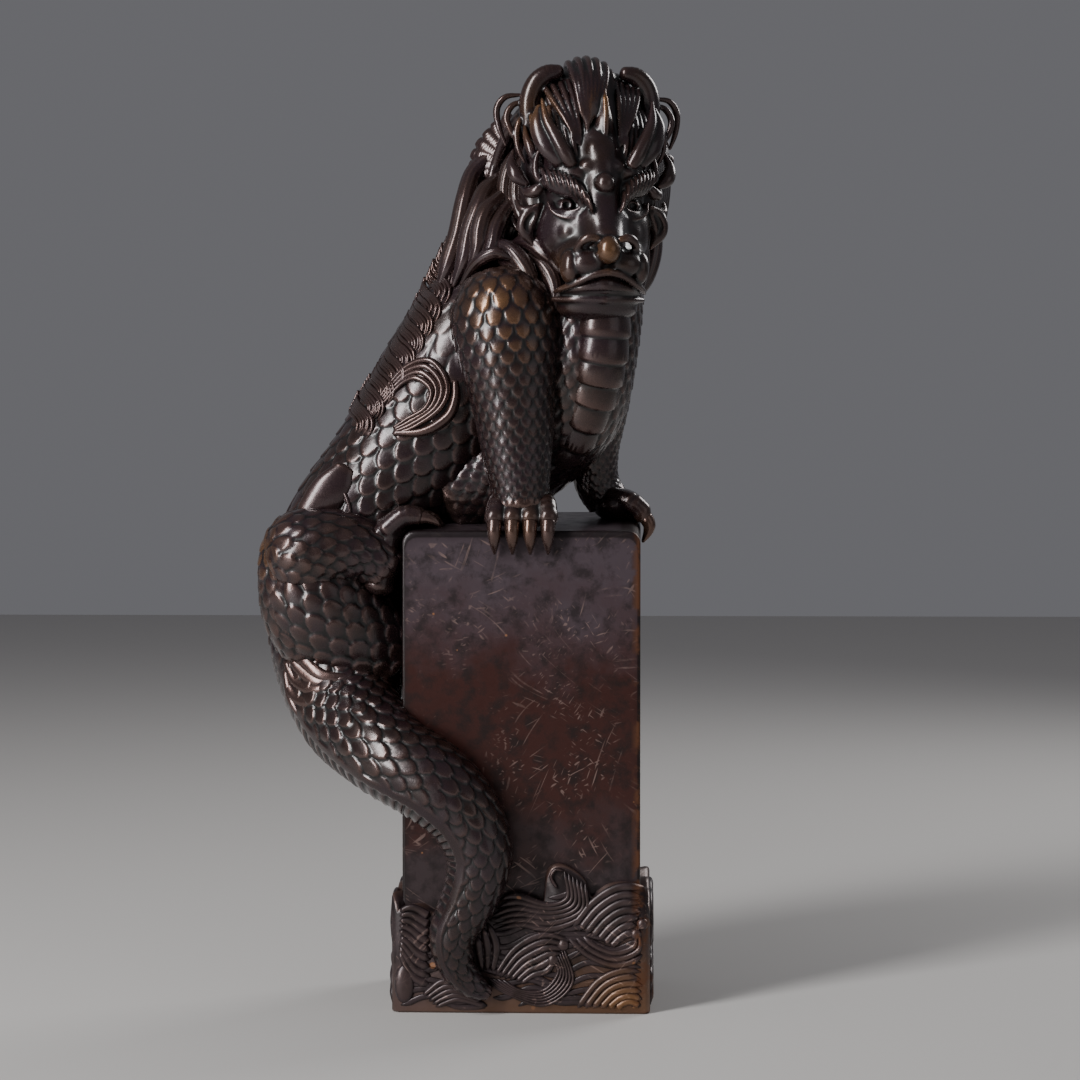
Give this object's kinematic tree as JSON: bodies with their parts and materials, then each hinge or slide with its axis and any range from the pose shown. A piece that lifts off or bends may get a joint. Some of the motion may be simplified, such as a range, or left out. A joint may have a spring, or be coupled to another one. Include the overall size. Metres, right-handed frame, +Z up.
{
  "type": "bronze dragon statue",
  "caption": "Cast bronze dragon seated over one side of a tall block, tail laid across the front into carved waves round the foot.",
  "frame": {"origin": "middle of the block's flat underside", "axes": "+Z up, the block's wide front with the tail faces -Y, the dragon hangs down the -X side"},
  "size_m": [0.1801, 0.1105, 0.4051],
  "materials": {
    "block_bronze": "dark reddish brown patina, scratched and worn to brass along its edges",
    "dragon_bronze": "near-black brown patina with a plum cast, rubbed to warm brass on the nose, horns, claws and scales"
  },
  "bodies": {
    "root": {"pillar": "block_bronze", "dragon": "dragon_bronze"}
  },
  "joints": []
}
